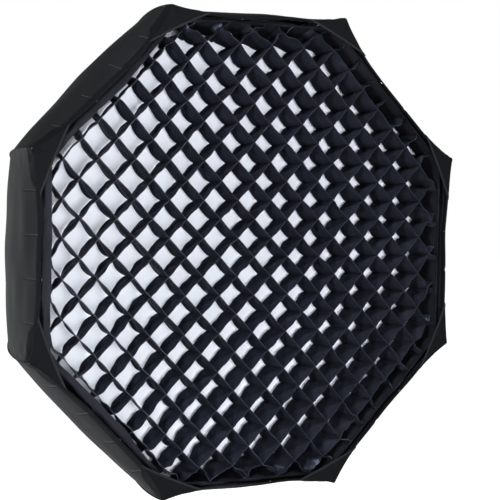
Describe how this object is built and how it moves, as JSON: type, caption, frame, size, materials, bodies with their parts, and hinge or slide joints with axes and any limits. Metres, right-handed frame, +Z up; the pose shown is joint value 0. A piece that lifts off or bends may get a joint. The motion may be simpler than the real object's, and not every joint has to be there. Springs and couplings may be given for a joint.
{
  "type": "octabox",
  "caption": "Octagonal rod-framed softbox with a recessed lip, removable honeycomb fabric grid, white front diffuser, inner baffle and a rotating clamped speedring.",
  "frame": {"origin": "centre of the light bore, on the plane where the insert seats against the flash head", "axes": "+Z up, +Y back towards the flash head, and the box opens towards -Y"},
  "size_m": [0.8842, 0.4498, 0.8842],
  "materials": {
    "insert_metal": "satin zinc plated",
    "bright_steel": "bright zinc",
    "speedring_metal": "satin black powder coat",
    "socket_metal": "satin",
    "rod_steel": "black coated spring steel",
    "black_plastic": "moulded matt black",
    "nylon": "natural nylon",
    "shell_fabric": "matt black woven outside, silver coated inside",
    "gusset_fabric": "heavy matt black woven",
    "binding_fabric": "black folded tape",
    "hook_loop_tape": "black hook and loop",
    "grid_fabric": "satin blue-black coated nylon",
    "diffuser_fabric": "white translucent nylon",
    "hem_fabric": "white folded hem tape",
    "elastic": "black knitted elastic"
  },
  "bodies": {
    "mount": {"mount_ring": "insert_metal", "bayonet_lugs": "bright_steel", "lug_rivets": "bright_steel", "retainer_ring": "insert_metal", "retainer_screws": "bright_steel"},
    "softbox": {"speedring_body": "speedring_metal", "speedring_cover": "speedring_metal", "cover_screws": "bright_steel", "rod_sockets": "socket_metal", "socket_screws": "bright_steel", "spring_rod_1": "rod_steel", "spring_rod_2": "rod_steel", "spring_rod_3": "rod_steel", "spring_rod_4": "rod_steel", "spring_rod_5": "rod_steel", "spring_rod_6": "rod_steel", "spring_rod_7": "rod_steel", "spring_rod_8": "rod_steel", "rod_tip_caps": "black_plastic", "rod_ferrules": "bright_steel", "rod_loops": "binding_fabric", "shell_panel_1": "shell_fabric", "shell_panel_2": "shell_fabric", "shell_panel_3": "shell_fabric", "shell_panel_4": "shell_fabric", "shell_panel_5": "shell_fabric", "shell_panel_6": "shell_fabric", "shell_panel_7": "shell_fabric", "shell_panel_8": "shell_fabric", "corner_gusset_1": "gusset_fabric", "corner_gusset_2": "gusset_fabric", "corner_gusset_3": "gusset_fabric", "corner_gusset_4": "gusset_fabric", "corner_gusset_5": "gusset_fabric", "corner_gusset_6": "gusset_fabric", "corner_gusset_7": "gusset_fabric", "corner_gusset_8": "gusset_fabric", "seam_piping": "binding_fabric", "lip_binding": "binding_fabric", "grid_loop_tape": "hook_loop_tape", "diffuser_loop_tape": "hook_loop_tape", "rear_collar": "binding_fabric", "collar_strap": "binding_fabric", "grid_border": "grid_fabric", "grid_hook_tape": "hook_loop_tape", "grid_strips_rising": "grid_fabric", "grid_strips_falling": "grid_fabric", "front_diffuser": "diffuser_fabric", "diffuser_hem": "hem_fabric", "inner_baffle": "diffuser_fabric", "baffle_hem": "hem_fabric", "baffle_tabs": "hem_fabric", "baffle_straps": "elastic", "baffle_hooks": "bright_steel", "strap_rings": "bright_steel", "friction_shoe": "nylon"},
    "lock_knob": {"lock_knob": "black_plastic", "lock_stud": "bright_steel"}
  },
  "joints": [
    {"name": "box_turn", "type": "hinge", "parent": "mount", "child": "softbox", "pos_m": [0, -0.026, 0], "axis": [0, 1, 0], "continuous": true},
    {"name": "knob_turn", "type": "hinge", "parent": "softbox", "child": "lock_knob", "pos_m": [0, -0.014, -0.09], "axis": [0, 0, 1], "range_deg": [0, 322]}
  ]
}
